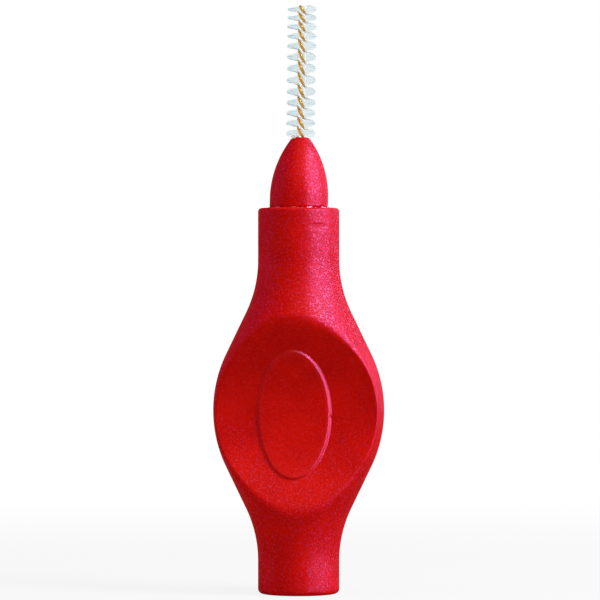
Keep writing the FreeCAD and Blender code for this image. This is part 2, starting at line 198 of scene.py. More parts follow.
def cut_along(piece: bpy.types.Object, axis: int, cuts: int) -> None:
    """Cuts the long edges of a straight piece into equal lengths.

    Args:
        piece: The piece, which is straight along an axis.
        axis: Number of that axis.
        cuts: Number of cuts in each long edge.
    """
    select_alone(piece)
    bpy.ops.object.mode_set(mode="EDIT")
    bpy.ops.mesh.select_mode(type="EDGE")
    bpy.ops.mesh.select_all(action="DESELECT")
    bpy.ops.object.mode_set(mode="OBJECT")
    ends = mesh_points(piece)[:, axis]
    half = (ends.max() - ends.min()) / 2
    for edge in piece.data.edges:
        first, second = edge.vertices
        edge.select = bool(abs(ends[first] - ends[second]) > half)
    bpy.ops.object.mode_set(mode="EDIT")
    bpy.ops.mesh.subdivide(number_cuts=cuts)
    bpy.ops.mesh.select_mode(type="VERT")
    bpy.ops.object.mode_set(mode="OBJECT")


def mark_points(piece: bpy.types.Object, name: str, values: np.ndarray) -> None:
    """Gives each vertex of the piece a value that its material reads.

    Args:
        piece: The piece to mark.
        name: Name of the attribute.
        values: One value for each vertex.
    """
    piece.data.attributes.new(name, "FLOAT", "POINT").data.foreach_set("value", values)


def face_outwards(piece: bpy.types.Object) -> None:
    """Turns all faces of a closed piece outwards."""
    select_alone(piece)
    bpy.ops.object.mode_set(mode="EDIT")
    bpy.ops.mesh.select_all(action="SELECT")
    bpy.ops.mesh.normals_make_consistent(inside=False)
    bpy.ops.object.mode_set(mode="OBJECT")


def give_finish(piece: bpy.types.Object, finish: bpy.types.Material) -> None:
    """Makes a material the piece's only one."""
    piece.data.materials.clear()
    piece.data.materials.append(finish)


def dress(piece: bpy.types.Object, finish: bpy.types.Material, angle: float = SMOOTH_ANGLE) -> None:
    """Shades the piece smooth and gives it its finish.

    Args:
        piece: The piece to dress.
        finish: Its material.
        angle: Edges sharper than this angle, in degrees, stay sharp.
    """
    select_alone(piece)
    bpy.ops.object.shade_smooth_by_angle(angle=math.radians(angle))
    give_finish(piece, finish)


# Shared shader effects

class NodeTree:
    """A thin wrapper that adds nodes to a material or a node group and joins them."""

    def __init__(self, tree: bpy.types.NodeTree) -> None:
        """Keeps the tree that nodes are added to."""
        self.tree = tree

    def fill(self, node: bpy.types.Node, entries: Entries) -> None:
        """Fills inputs of a node, by name or number: a socket is joined, anything else is a plain value."""
        for name, entry in entries.items():
            if isinstance(entry, Socket):
                self.tree.links.new(entry, node.inputs[name])
            else:
                node.inputs[name].default_value = entry

    def add(self, kind: str, entries: Entries | None = None, **settings: object) -> bpy.types.Node:
        """Adds a node.

        Args:
            kind: The node's type name.
            entries: What its inputs are filled with.
            settings: Properties of the node, which are set before its inputs.

        Returns:
            The new node.
        """
        node = self.tree.nodes.new(kind)
        for name, setting in settings.items():
            setattr(node, name, setting)
        self.fill(node, entries or {})
        return node

    def marked(self, name: str) -> Socket:
        """The value that the vertices are marked with."""
        return self.add("ShaderNodeAttribute", attribute_name=name).outputs["Fac"]

    def noise(self, entries: Entries) -> Socket:
        """A noise that stays in place on the piece."""
        place = self.add("ShaderNodeTexCoord").outputs["Object"]
        return self.add("ShaderNodeTexNoise", {"Vector": place, **entries}).outputs["Fac"]

    def mapped(self, value: Socket, limits: Entries, **settings: object) -> Socket:
        """The value, mapped from one range onto another."""
        return self.add("ShaderNodeMapRange", {"Value": value, **limits}, **settings).outputs["Result"]

    def mixed(self, share: Socket, none: Socket | Colour, full: Socket | Colour) -> Socket:
        """The first colour where the share is none, and the second where it is full."""
        entries = {"Factor": share, "A": none, "B": full}
        return self.add("ShaderNodeMix", entries, data_type="RGBA").outputs["Result"]

    def reckoned(self, operation: str, first: Socket, second: Socket) -> Socket:
        """What an operation makes of two values."""
        return self.add("ShaderNodeMath", {0: first, 1: second}, operation=operation).outputs["Value"]


def new_material(name: str) -> tuple[bpy.types.Material, NodeTree, bpy.types.Node]:
    """Starts a material.

    Args:
        name: Name of the material.

    Returns:
        The material, its nodes and its surface shader.
    """
    material = bpy.data.materials.new(name)
    material.use_nodes = True
    return material, NodeTree(material.node_tree), material.node_tree.nodes["Principled BSDF"]


class MouldedGrain:
    """Node group with the pebbled grain of a spark-eroded mould, its broad uneven colour and a mask of fine
    flecks where glints are painted.
    """

    NAME = "moulded_grain"
    SCALES = ("Grain Scale", "Blotch Scale", "Fleck Scale")
    RESULTS = ("Height", "Tone", "Fleck")
    GRAIN_DETAIL = 2.0
    GRAIN_ROUGHNESS = 0.6
    BLOTCH_DETAIL = 3.0
    GLINT_NOISE_DETAIL = 1.0
    FLECK_FROM = 0.52
    FLECK_FULL = 0.72
    TONE_FROM = 0.7
    TONE_FULL = 1.3

    def group(self) -> bpy.types.NodeTree:
        """The group, built the first time that it is asked for."""
        return bpy.data.node_groups.get(self.NAME) or self._build()

    def _build(self) -> bpy.types.NodeTree:
        """Builds the group's nodes and its named sockets."""
        tree = bpy.data.node_groups.new(self.NAME, "ShaderNodeTree")
        for name in self.SCALES:
            tree.interface.new_socket(name, in_out="INPUT", socket_type="NodeSocketFloat")
        for name in self.RESULTS:
            tree.interface.new_socket(name, in_out="OUTPUT", socket_type="NodeSocketFloat")
        nodes = NodeTree(tree)
        scales = nodes.add("NodeGroupInput").outputs
        pebbles = {"Detail": self.GRAIN_DETAIL, "Roughness": self.GRAIN_ROUGHNESS}
        grain = nodes.noise({"Scale": scales["Grain Scale"], **pebbles})
        blotch = nodes.noise({"Scale": scales["Blotch Scale"], "Detail": self.BLOTCH_DETAIL})
        # Noise of the fine flecks: glints are painted in the colour there, and the sheen is stronger.
        glint_noise = nodes.noise({"Scale": scales["Fleck Scale"], "Detail": self.GLINT_NOISE_DETAIL})
        fleck_limits = {"From Min": self.FLECK_FROM, "From Max": self.FLECK_FULL}
        fleck = nodes.mapped(glint_noise, fleck_limits, interpolation_type="SMOOTHSTEP")
        both = nodes.reckoned("ADD", grain, blotch)
        tone = nodes.mapped(both, {"From Min": self.TONE_FROM, "From Max": self.TONE_FULL})
        nodes.add("NodeGroupOutput", {"Height": grain, "Tone": tone, "Fleck": fleck})
        return tree


# Finishes

@dataclass(frozen=True)
class MouldedRed:
    """Red moulded plastic or elastomer with a fine grain, violet flecks that are painted glints, and a thin
    sheen.
    """

    name: str
    deep: Colour = (0.44, 0.002, 0.0002, 1.0)
    bright: Colour = (0.6, 0.0046, 0.0, 1.0)
    # Violet of the flecks: painted glints of bluish light, put into the base colour.
    fleck: Colour = (0.5, 0.006, 0.028, 1.0)
    roughness: float = 0.5
    base_gloss: float = 0.0
    sheen: float = 0.038
    fleck_sheen: float = 0.135
    edge_sheen: float = 0.06
    sheen_roughness: float = 0.37
    grain_scale: float = 5200.0
    blotch_scale: float = 350.0
    fleck_scale: float = 6200.0
    grain_strength: float = 1.0
    grain_depth: float = 0.038 * MM
    smooth_grain: float = 0.15

    def material(self) -> bpy.types.Material:
        """The finish as a material: grain drives colour, sheen and bump, and is finer where marked smooth;
        the violet flecks in the colour are painted glints.
        """
        material, nodes, surface = new_material(self.name)
        scales = dict(zip(MouldedGrain.SCALES, (self.grain_scale, self.blotch_scale, self.fleck_scale)))
        grain = nodes.add("ShaderNodeGroup", scales, node_tree=MouldedGrain().group()).outputs
        depth = nodes.mapped(nodes.marked(SMOOTH_SHARE), {"To Min": 1.0, "To Max": self.smooth_grain})
        red = nodes.mixed(grain["Tone"], self.deep, self.bright)
        # Painted glints: violet flecks mixed into the base colour, fading where marked smooth.
        flecked = nodes.mixed(nodes.reckoned("MULTIPLY", depth, grain["Fleck"]), red, self.fleck)
        sheen = nodes.mapped(grain["Fleck"], {"To Min": self.sheen, "To Max": self.fleck_sheen})
        edge_sheen = nodes.mapped(nodes.marked(EDGE_SHARE), {"To Max": self.edge_sheen})
        coat = nodes.reckoned("ADD", sheen, edge_sheen)
        height = nodes.reckoned("MULTIPLY", depth, grain["Height"])
        pebbles = {"Height": height, "Strength": self.grain_strength, "Distance": self.grain_depth}
        bump = nodes.add("ShaderNodeBump", pebbles).outputs["Normal"]
        nodes.fill(surface, {"Base Color": flecked, "Coat Weight": coat, "Normal": bump})
        nodes.fill(surface, {"Roughness": self.roughness, "Specular IOR Level": self.base_gloss})
        nodes.fill(surface, {"Coat Roughness": self.sheen_roughness})
        return material


@dataclass(frozen=True)
class GoldWire:
    """Bright gold-coloured coating on drawn wire, with fine drawing marks."""

    name: str = "gold_wire"
    pale: Colour = (0.8, 0.48, 0.08, 1.0)
    deep: Colour = (0.24, 0.1, 0.008, 1.0)
    edge_tint: Colour = (0.3, 0.2, 0.1, 1.0)
    roughness: float = 0.1
    dull_roughness: float = 0.24
    mark_scale: float = 6000.0
    mark_detail: float = 2.0

    def material(self) -> bpy.types.Material:
        """The finish as a material: a noise varies tone and gloss along the wire."""
        material, nodes, surface = new_material(self.name)
        marks = nodes.noise({"Scale": self.mark_scale, "Detail": self.mark_detail})
        rough = nodes.mapped(marks, {"To Min": self.dull_roughness, "To Max": self.roughness})
        nodes.fill(surface, {"Base Color": nodes.mixed(marks, self.deep, self.pale), "Roughness": rough})
        nodes.fill(surface, {"Metallic": 1.0, "Specular Tint": self.edge_tint})
        return material


@dataclass(frozen=True)
class ClearNylon:
    """Clear drawn nylon, which reads as pale grey where filaments crowd."""

    name: str = "clear_nylon"
    clear: Colour = (0.85, 0.91, 0.925, 1.0)
    frosted: Colour = (0.8, 0.87, 0.89, 1.0)
    frost_from: float = 0.8
    clear_roughness: float = 0.12
    frosted_roughness: float = 0.5
    transmission: float = 1.0
    index: float = 1.06
    # Strength of a painted glow in the clear colour, which makes the packed roots read white.
    painted_glow: float = 0.0

    def material(self) -> bpy.types.Material:
        """The finish as a material: light goes through, the cut ends are frosted, and a painted glow in the
        clear colour can brighten it.
        """
        material, nodes, surface = new_material(self.name)
        frost = nodes.mapped(nodes.marked(END_SHARE), {"From Min": self.frost_from})
        rough = nodes.mapped(frost, {"To Min": self.clear_roughness, "To Max": self.frosted_roughness})
        nodes.fill(surface, {"Base Color": nodes.mixed(frost, self.clear, self.frosted), "Roughness": rough})
        nodes.fill(surface, {"Transmission Weight": self.transmission, "IOR": self.index})
        # Painted light: the clear colour glows by this strength.
        nodes.fill(surface, {"Emission Color": self.clear, "Emission Strength": self.painted_glow})
        return material


# The grip

@dataclass
class ThumbDish:
    """The barrel-shaped hollow for a thumb or finger in one face of the grip."""

    height: float = 14.9 * MM
    floor: float = 1.75 * MM
    sweep: float = 13.2 * MM
    crown: float = 70.0 * MM
    sweep_limit: float = 0.999
    top_reach: float = 8.5 * MM
    top_lift: float = 0.7 * MM
    lift_power: int = 4
    lift_spread: float = 4.5 * MM

    def face(self, across: np.ndarray, height: np.ndarray) -> np.ndarray:
        """Distance of the dish's surface from the grip's middle plane.

        The surface is lifted towards the top of the dish, and most at the left.

        Args:
            across: X of each place.
            height: Z of each place.

        Returns:
            The distance at each place, large where the hollow has ended.
        """
        barrel = self.sweep - self.crown + np.sqrt(self.crown**2 - across**2)
        along = np.clip(np.abs(height - self.height), 0, self.sweep_limit * barrel)
        high = np.clip((height - self.height) / self.top_reach, 0, None)
        lift = self.top_lift * high**self.lift_power * (1 - across / self.lift_spread)
        return self.floor + self.sweep - np.sqrt(barrel**2 - along**2) + lift


@dataclass
class SoftGrip:
    """The soft grip: a turned body with a dish pressed into each face and the nose's seat in its collar."""

    top: float
    belly_radius: float
    nose_bottom: float
    neck_radius: float = 3.385 * MM
    tail_land: float = 2.71 * MM
    swell_reach: float = 12.54 * MM
    belly_arc: float = 10.8 * MM
    hollow_arc: float = 10.1 * MM
    tail_edge: float = 0.4 * MM
    collar_edge: float = 0.3 * MM
    seat_radius: float = 2.22 * MM
    seat_depth: float = 0.72 * MM
    stem_radius: float = 2.22 * MM
    ring_step: float = 0.13 * MM
    hidden_step: float = 0.6 * MM
    edge_steps: int = 8
    steps: int = 272
    rim_softness: float = 0.75 * MM
    rim_swing: float = 0.38 * MM
    faint_turn: float = 122.0
    faint_reach: float = 44.0
    faint_softness: float = 0.9 * MM
    smooth_by: float = 0.3 * MM
    smooth_from: float = 9.0 * MM
    smooth_full: float = 15.0 * MM
    mark_heights: tuple[float, float] = (30.35 * MM, 30.6 * MM)
    mark_turn: float = -53.0
    mark_reach: float = 14.0
    mark_width: float = 0.09 * MM
    mark_depth: float = 0.07 * MM
    mark_squareness: int = 4
    flex_start: float = 23.0 * MM
    flex_end: float = 28.0 * MM
    dish: ThumbDish = field(default_factory=ThumbDish)

    def outline(self) -> Outline:
        """Half outline from the tail's middle over the belly and collar into the nose's seat."""
        belly_height = self.tail_land + self.swell_reach
        swell = self.belly_radius - self.neck_radius
        spread = 2 * (self.belly_arc + self.hollow_arc) - swell
        slope = 2 * math.atan((self.swell_reach - math.sqrt(self.swell_reach**2 - swell * spread)) / spread)
        lean = math.degrees(slope)
        neck = self.neck_radius
        hollow = self.hollow_arc
        belly_middle = (self.belly_radius - self.belly_arc, belly_height)
        low_middle = (neck + hollow, self.tail_land)
        high_middle = (neck + hollow, belly_height + self.swell_reach)
        hollow_steps = math.ceil(hollow * slope / self.ring_step)
        belly_steps = math.ceil(2 * self.belly_arc * slope / self.ring_step)
        low_hollow = arc_points(low_middle, hollow, 180, 180 - lean, hollow_steps)
        belly = arc_points(belly_middle, self.belly_arc, -lean, lean, belly_steps)
        high_hollow = arc_points(high_middle, hollow, 180 + lean, 180, hollow_steps)
        edge = self.tail_edge
        tail = arc_points((neck - edge, edge), edge, -90, 0, self.edge_steps)
        edge = self.collar_edge
        collar = arc_points((neck - edge, self.top - edge), edge, 0, 90, self.edge_steps)
        seat_floor = self.top - self.seat_depth
        mouth = [(self.seat_radius, self.top), (self.seat_radius, seat_floor)]
        well = [(self.stem_radius, self.nose_bottom), (0.0, self.nose_bottom)]
        points: Outline = [(0.0, 0.0)]
        for stretch in (tail, low_hollow, belly, high_hollow, collar, mouth, well):
            step = self.hidden_step if stretch in (tail, well) else self.ring_step
            points += spaced_line(points[-1], stretch[0], step) + stretch
        return points

    def press_dishes(self, points: np.ndarray) -> np.ndarray:
        """Presses the dish into both faces.

        The rim is crisp at the sides, soft above and below, and softest where it is faint.

        Args:
            points: The turned body's vertices, which are moved.

        Returns:
            How smooth the mould leaves each vertex: 1 high in the dishes, less lower down and 0 outside them.
        """
        across, depth, height = points.T.copy()
        turn = np.arctan2(height - self.dish.height, across)
        faint = np.exp(-(((np.degrees(turn) - self.faint_turn) / self.faint_reach) ** 2))
        softness = self.rim_softness - self.rim_swing * np.cos(turn) ** 2 + self.faint_softness * faint
        pressed = smooth_minimum(np.abs(depth), self.dish.face(across, height), softness)
        points[:, 1] = np.sign(depth) * np.clip(pressed, 0, None)
        high = np.clip((height - self.smooth_from) / (self.smooth_full - self.smooth_from), 0, 1)
        return np.clip((np.abs(depth) - pressed) / self.smooth_by, 0, 1) * high

    def press_marks(self, points: np.ndarray) -> None:
        """Presses two short, shallow flow marks into the collar's front.

        Args:
            points: The turned body's vertices, which are moved.
        """
        across, depth, height = points.T.copy()
        turn = np.degrees(np.arctan2(depth, across))
        beside = np.exp(-(((turn - self.mark_turn) / self.mark_reach) ** self.mark_squareness))
        for mark in self.mark_heights:
            press = self.mark_depth * beside * np.exp(-(((height - mark) / self.mark_width) ** 2))
            points[:, :2] *= (1 - press / self.neck_radius)[:, None]

    def build(self, finish: bpy.types.Material) -> bpy.types.Object:
        """Turns the body and presses the dishes and the flow marks into it.

        Args:
            finish: Material of the grip.

        Returns:
            The finished grip.
        """
        piece = lathe("soft_grip", self.outline(), self.steps)
        points = mesh_points(piece)
        smooth = self.press_dishes(points)
        self.press_marks(points)
        move_points(piece, points)
        mark_points(piece, SMOOTH_SHARE, smooth)
        dress(piece, finish)
        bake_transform(piece)
        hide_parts("grip_handle")
        return piece


@dataclass
class OvalPad:
    """The raised oval in a dish: a flat oval with a rounded edge, laid onto the dish's surface."""

    dish: ThumbDish
    width: float = 6.26 * MM
    length: float = 10.86 * MM
    beside: float = 0.18 * MM
    above: float = 0.05 * MM
    rise: float = 0.2 * MM
    edge: float = 0.3 * MM
    foot: float = 0.06 * MM
    nick_turn: float = -2.0
    nick_width: float = 1.2
    sides: int = 384
    edge_steps: int = 8
    inner_rings: int = 12
    smooth_angle: float = 60.0

    def rings(self) -> list[tuple[float, float]]:
        """Inset and lift of each ring, from the sunk foot over the rounded edge to the flat top."""
        rings = [(-self.foot / 2, -self.foot)]
        for step in range(self.edge_steps + 1):
            share = step / self.edge_steps
            rings.append((self.edge * share, self.rise * share**2 * (3 - 2 * share)))
        return rings

    def flat_oval(self, name: str) -> bpy.types.Object:
        """Models the oval flat and round the origin, ring by ring from its foot to its middle.

        Args:
            name: Name of the new piece.

        Returns:
            The oval, which rises along Y.
        """
        object_mode_alone()
        bpy.ops.mesh.primitive_circle_add(vertices=self.sides, radius=1.0, rotation=(math.pi / 2, 0, 0))
        piece = bpy.context.object
        piece.name = name
        bpy.ops.object.transform_apply(location=True, rotation=True, scale=True)
        bpy.ops.object.mode_set(mode="EDIT")
        bpy.ops.mesh.select_all(action="SELECT")
        middle = (0, 0, 0)
        across, along, lift = 1.0, 1.0, 0.0
        for index, (inset, rise) in enumerate(self.rings()):
            if index:
                bpy.ops.mesh.extrude_region_move()
            new_across = self.width / 2 - inset
            new_along = self.length / 2 - inset
            scale = (new_across / across, 1, new_along / along)
            bpy.ops.transform.resize(value=scale, center_override=middle)
            bpy.ops.transform.translate(value=(0, rise - lift, 0))
            across, along, lift = new_across, new_along, rise
        for ring in range(self.inner_rings, 1, -1):
            bpy.ops.mesh.extrude_region_move()
            scale = ((ring - 1) / ring, 1, (ring - 1) / ring)
            bpy.ops.transform.resize(value=scale, center_override=middle)
        bpy.ops.mesh.extrude_region_move()
        bpy.ops.mesh.merge(type="CENTER")
        bpy.ops.object.mode_set(mode="OBJECT")
        return piece

    def lay(self, points: np.ndarray, face: Face) -> np.ndarray:
        """Nicks the oval's edge and lays the oval onto the dish.

        Args:
            points: The flat oval's vertices, which are moved.
            face: Side of the grip that the oval is on.

        Returns:
            How far out each vertex is, from 0 in the middle to 1 at the edge.
        """
        across = points[:, 0] / self.width
        along = points[:, 2] / self.length
        turn = np.degrees(np.arctan2(along, across))
        reach = np.hypot(along, across) * 2
        nick = np.exp(-(((turn - self.nick_turn) / self.nick_width) ** 2))
        points[:, 1] *= 1 - nick * (reach > 1 - self.edge / self.width)
        points[:, 0] += face.value * self.beside
        points[:, 2] += self.dish.height + self.above
        points[:, 1] = face.value * (points[:, 1] + self.dish.face(points[:, 0], points[:, 2]))
        return reach

    def build(self, face: Face, finish: bpy.types.Material) -> bpy.types.Object:
        """Models the oval, lays it onto the dish and marks it smooth, with a glossier edge.

        Args:
            face: Side of the grip that the oval is on.
            finish: Material of the oval.

        Returns:
            The finished oval.
        """
        piece = self.flat_oval(f"oval_pad_{face.name.lower()}")
        points = mesh_points(piece)
        reach = self.lay(points, face)
        move_points(piece, points)
        face_outwards(piece)
        dress(piece, finish, self.smooth_angle)
        mark_points(piece, SMOOTH_SHARE, np.ones(len(points)))
        mark_points(piece, EDGE_SHARE, (reach > 1 - 2 * self.edge / self.width).astype(float))
        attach(piece, Rides.GRIP.value)
        return piece


@dataclass
class MouthFlash:
    """The thin uneven lip of elastomer that the mould leaves round the nose's foot."""

    collar: float
    middle: float = 2.5 * MM
    half_width: float = 0.08 * MM
    rise: float = 0.05 * MM
    foot: float = 0.03 * MM
    arch_steps: int = 8
    steps: int = 288
    waves: tuple[tuple[float, int, float], ...] = ((0.5, 11, 1.0), (0.4, 23, 2.2), (0.3, 41, 0.4))

    def outline(self) -> Outline:
        """Closed outline of the lip: an arch over a sunk foot."""
        arch = [
            (self.middle + self.half_width * radius, self.collar + self.rise * height)
            for radius, height in arc_points((0, 0), 1, 0, 180, self.arch_steps)
        ]
        sunk = self.collar - self.foot
        foot = [(self.middle - self.half_width, sunk), (self.middle + self.half_width, sunk)]
        return arch + foot + arch[:1]

    def build(self, finish: bpy.types.Material) -> bpy.types.Object:
        """Turns the lip and makes its height uneven.

        Args:
            finish: Material of the lip.

        Returns:
            The finished lip.
        """
        piece = lathe("mouth_flash", self.outline(), self.steps)
        points = mesh_points(piece)
        turn = np.arctan2(points[:, 1], points[:, 0])
        height = 1 + sum(share * np.sin(count * turn + start) for share, count, start in self.waves)
        above = np.clip(points[:, 2] - self.collar, 0, None)
        points[:, 2] += above * (height - 1)
        move_points(piece, points)
        dress(piece, finish)
        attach(piece, Rides.NOSE.value)
        return piece


# The nose

@dataclass
class SideLean:
    """How far the nose and the brush stand to the right of the grip's axis."""

    foot: float
    tip: float
    nose_degrees: float = 1.5
    brush_degrees: float = 0.7

    def shift(self, heights: np.ndarray) -> np.ndarray:
        """Sideways shift at each height, none below the nose's foot."""
        along_nose = np.clip(heights, self.foot, self.tip) - self.foot
        along_brush = np.clip(heights - self.tip, 0, None)
        nose_slope = math.tan(math.radians(self.nose_degrees))
        return nose_slope * along_nose + math.tan(math.radians(self.brush_degrees)) * along_brush


@dataclass
class BulletNose:
    """The stiff nose on its ringed anchor stem."""

    lean: SideLean
    collar: float
    tip: float
    bottom: float
    land_radius: float = 2.43 * MM
    land: float = 0.8 * MM
    tip_radius: float = 0.69 * MM
    tip_edge: float = 0.4 * MM
    foot_edge: float = 0.2 * MM
    seat_radius: float = 2.2 * MM
    seat_depth: float = 0.7 * MM
    stem_radius: float = 1.45 * MM
    barb_height: float = 0.75 * MM
    barb_share: float = 0.18
    barbs: int = 2
    bore_radius: float = 0.32 * MM
    bore_depth: float = 0.5 * MM
    ring_step: float = 0.1 * MM
    foot_steps: int = 5
    tip_steps: int = 10
    steps: int = 192
    smooth_angle: float = 40.0

    def outline(self) -> Outline:
        """Half outline from the stem's foot over its rings, the seat and the nose into the wire's bore."""
        seat_foot = self.collar - self.seat_depth
        stem_length = seat_foot - self.bottom
        half_ring = self.barb_share * stem_length / 2
        barb = self.stem_radius + self.barb_height
        points: Outline = [(0.0, self.bottom), (self.stem_radius, self.bottom)]
        for index in range(self.barbs):
            middle = self.bottom + stem_length * (index + 0.5) / self.barbs
            ring = ((self.stem_radius, -1), (barb, -1), (barb, 1), (self.stem_radius, 1))
            points += [(radius, middle + side * half_ring) for radius, side in ring]
        points += [(self.stem_radius, seat_foot), (self.seat_radius, seat_foot)]
        points += [(self.seat_radius, self.collar)]
        foot = self.foot_edge
        points += arc_points((self.land_radius - foot, self.collar + foot), foot, -90, 0, self.foot_steps)
        land_top = self.collar + self.land
        points += spaced_line(points[-1], (self.land_radius, land_top), self.ring_step)
        rise = self.tip - land_top
        draw_in = self.land_radius - self.tip_radius
        bend = (rise**2 + draw_in**2) / (2 * draw_in)
        middle = self.land_radius - bend
        edge = self.tip_edge
        edge_height = rise - edge
        edge_radius = middle + math.sqrt((bend - edge) ** 2 - edge_height**2)
        turn = math.degrees(math.asin(edge_height / (bend - edge)))
        side_steps = math.ceil(bend * math.radians(turn) / self.ring_step)
        points += arc_points((middle, land_top), bend, 0, turn, side_steps)
        points += arc_points((edge_radius, self.tip - edge), edge, turn, 90, self.tip_steps)[1:]
        points += [(self.bore_radius, self.tip), (self.bore_radius, self.tip - self.bore_depth)]
        return points + [(0.0, self.tip - self.bore_depth)]

    def build(self, finish: bpy.types.Material) -> bpy.types.Object:
        """Turns the nose and leans it.

        Args:
            finish: Material of the nose.

        Returns:
            The finished nose.
        """
        piece = lathe("bullet_nose", self.outline(), self.steps)
        points = mesh_points(piece)
        points[:, 0] += self.lean.shift(points[:, 2])
        move_points(piece, points)
        dress(piece, finish, self.smooth_angle)
        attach(piece, Rides.NOSE.value)
        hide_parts("nose_core")
        return piece


# The brush

@dataclass
class WireTwist:
    """The left-handed twist that wire and filaments share."""

    lean: SideLean
    tip: float
    top: float
    first_lobe: float = 0.41 * MM
    last_lobe: float = 0.365 * MM
    half_turns: int = 12
    end_tightness: float = 0.13
    top_tightness: float = 0.08
    crowding: float = 0.28
    bend_length: float = 0.9 * MM

    @property
    def half_turn(self) -> float:
        """Height of half a turn."""
        return (self.top - self.last_lobe - self.tip - self.first_lobe) / self.half_turns

    def angle(self, height: float) -> float:
        """Direction of the filaments at a height, in radians from X.

        The twist is tighter at its two ends, and the filaments crowd to the two sides.

        Args:
            height: Height along the wire.

        Returns:
            The direction.
        """
        share = (height - self.tip - self.first_lobe) / (self.half_turns * self.half_turn)
        turned = share + self.end_tightness * math.sin(2 * math.pi * share) / (2 * math.pi)
        turned += self.top_tightness * (share**2 - share)
        even = -math.pi * self.half_turns * turned
        return even - self.crowding * math.sin(2 * even) / 2

    def middle(self, height: float) -> Vector:
        """Middle of the wire at a height."""
        return Vector((float(self.lean.shift(height)), 0, height))

    def bend(self, piece: bpy.types.Object) -> None:
        """Bakes the piece's placement into its mesh, and nothing more."""
        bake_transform(piece)


@dataclass
class TwistedWire:
    """Two strands of gold-coloured wire twisted together."""

    twist: WireTwist
    strand_radius: float = 0.11 * MM
    twist_radius: float = 0.2 * MM
    buried: float = 0.4 * MM
    cut_below: float = 0.12 * MM
    cut_step: float = 0.14 * MM
    points_per_turn: int = 32
    section_steps: int = 4

    def strand(self, side: int) -> bpy.types.Object:
        """One strand as a tube along its helix.

        Args:
            side: 1 or -1, for the two strands on opposite sides of the filaments.

        Returns:
            The strand as a mesh.
        """
        bottom = self.twist.tip - self.buried
        length = self.twist.top - self.cut_below - bottom - (self.cut_step if side > 0 else 0.0)
        count = math.ceil(self.points_per_turn * length / (2 * self.twist.half_turn))
        curve = bpy.data.curves.new("strand", "CURVE")
        curve.dimensions = "3D"
        curve.bevel_depth = self.strand_radius
        curve.bevel_resolution = self.section_steps
        curve.use_fill_caps = True
        spline = curve.splines.new("POLY")
        spline.points.add(count)
        for index, point in enumerate(spline.points):
            height = bottom + length * index / count
            turn = self.twist.angle(height) + side * math.pi / 2
            offset = Vector((math.cos(turn), math.sin(turn), 0)) * self.twist_radius
            point.co = (*(self.twist.middle(height) + offset), 1)
        strand = bpy.data.objects.new("strand", curve)
        bpy.context.collection.objects.link(strand)
        select_alone(strand)
        bpy.ops.object.convert(target="MESH")
        return bpy.context.object

    def build(self, finish: bpy.types.Material) -> bpy.types.Object:
        """Joins the two strands into the wire.

        Args:
            finish: Material of the wire.

        Returns:
            The finished wire.
        """
        strands = [self.strand(side) for side in (1, -1)]
        object_mode_alone()
        for strand in strands:
            strand.select_set(True)
        bpy.context.view_layer.objects.active = strands[0]
        bpy.ops.object.join()
        piece = bpy.context.object
        piece.name = "twisted_wire"
        dress(piece, finish)
        self.twist.bend(piece)
        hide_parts("wire_stem")
        return piece


@dataclass
class PackedRoots:
    """The ribbon of filament roots that the two strands squeeze between them."""

    twist: WireTwist
    half_width: float = 0.34 * MM
    thickness: float = 0.18 * MM
    below_tip: float = 0.2 * MM
    below_top: float = 0.12 * MM
    cuts_per_half_turn: int = 8

    def build(self, finish: bpy.types.Material) -> bpy.types.Object:
        """Models a straight ribbon and twists it with the wire.

        Args:
            finish: Material of the roots.

        Returns:
            The finished ribbon.
        """
        object_mode_alone()
        bottom = self.twist.tip - self.below_tip
        length = self.twist.top - self.below_top - bottom
        bpy.ops.mesh.primitive_cube_add(size=1.0, location=(0, 0, bottom + length / 2))
        piece = bpy.context.object
        piece.name = "packed_roots"
        piece.scale = (2 * self.half_width, self.thickness, length)
        bpy.ops.object.transform_apply(location=True, rotation=True, scale=True)
        cut_along(piece, 2, self.cuts_per_half_turn * self.twist.half_turns)
        points = mesh_points(piece)
        for point in points:
            across, depth, height = point
            turn = self.twist.angle(height)
            middle = self.twist.middle(height)
            point[0] = middle.x + across * math.cos(turn) - depth * math.sin(turn)
            point[1] = middle.y + across * math.sin(turn) + depth * math.cos(turn)
        move_points(piece, points)
        dress(piece, finish)
        self.twist.bend(piece)
        return piece


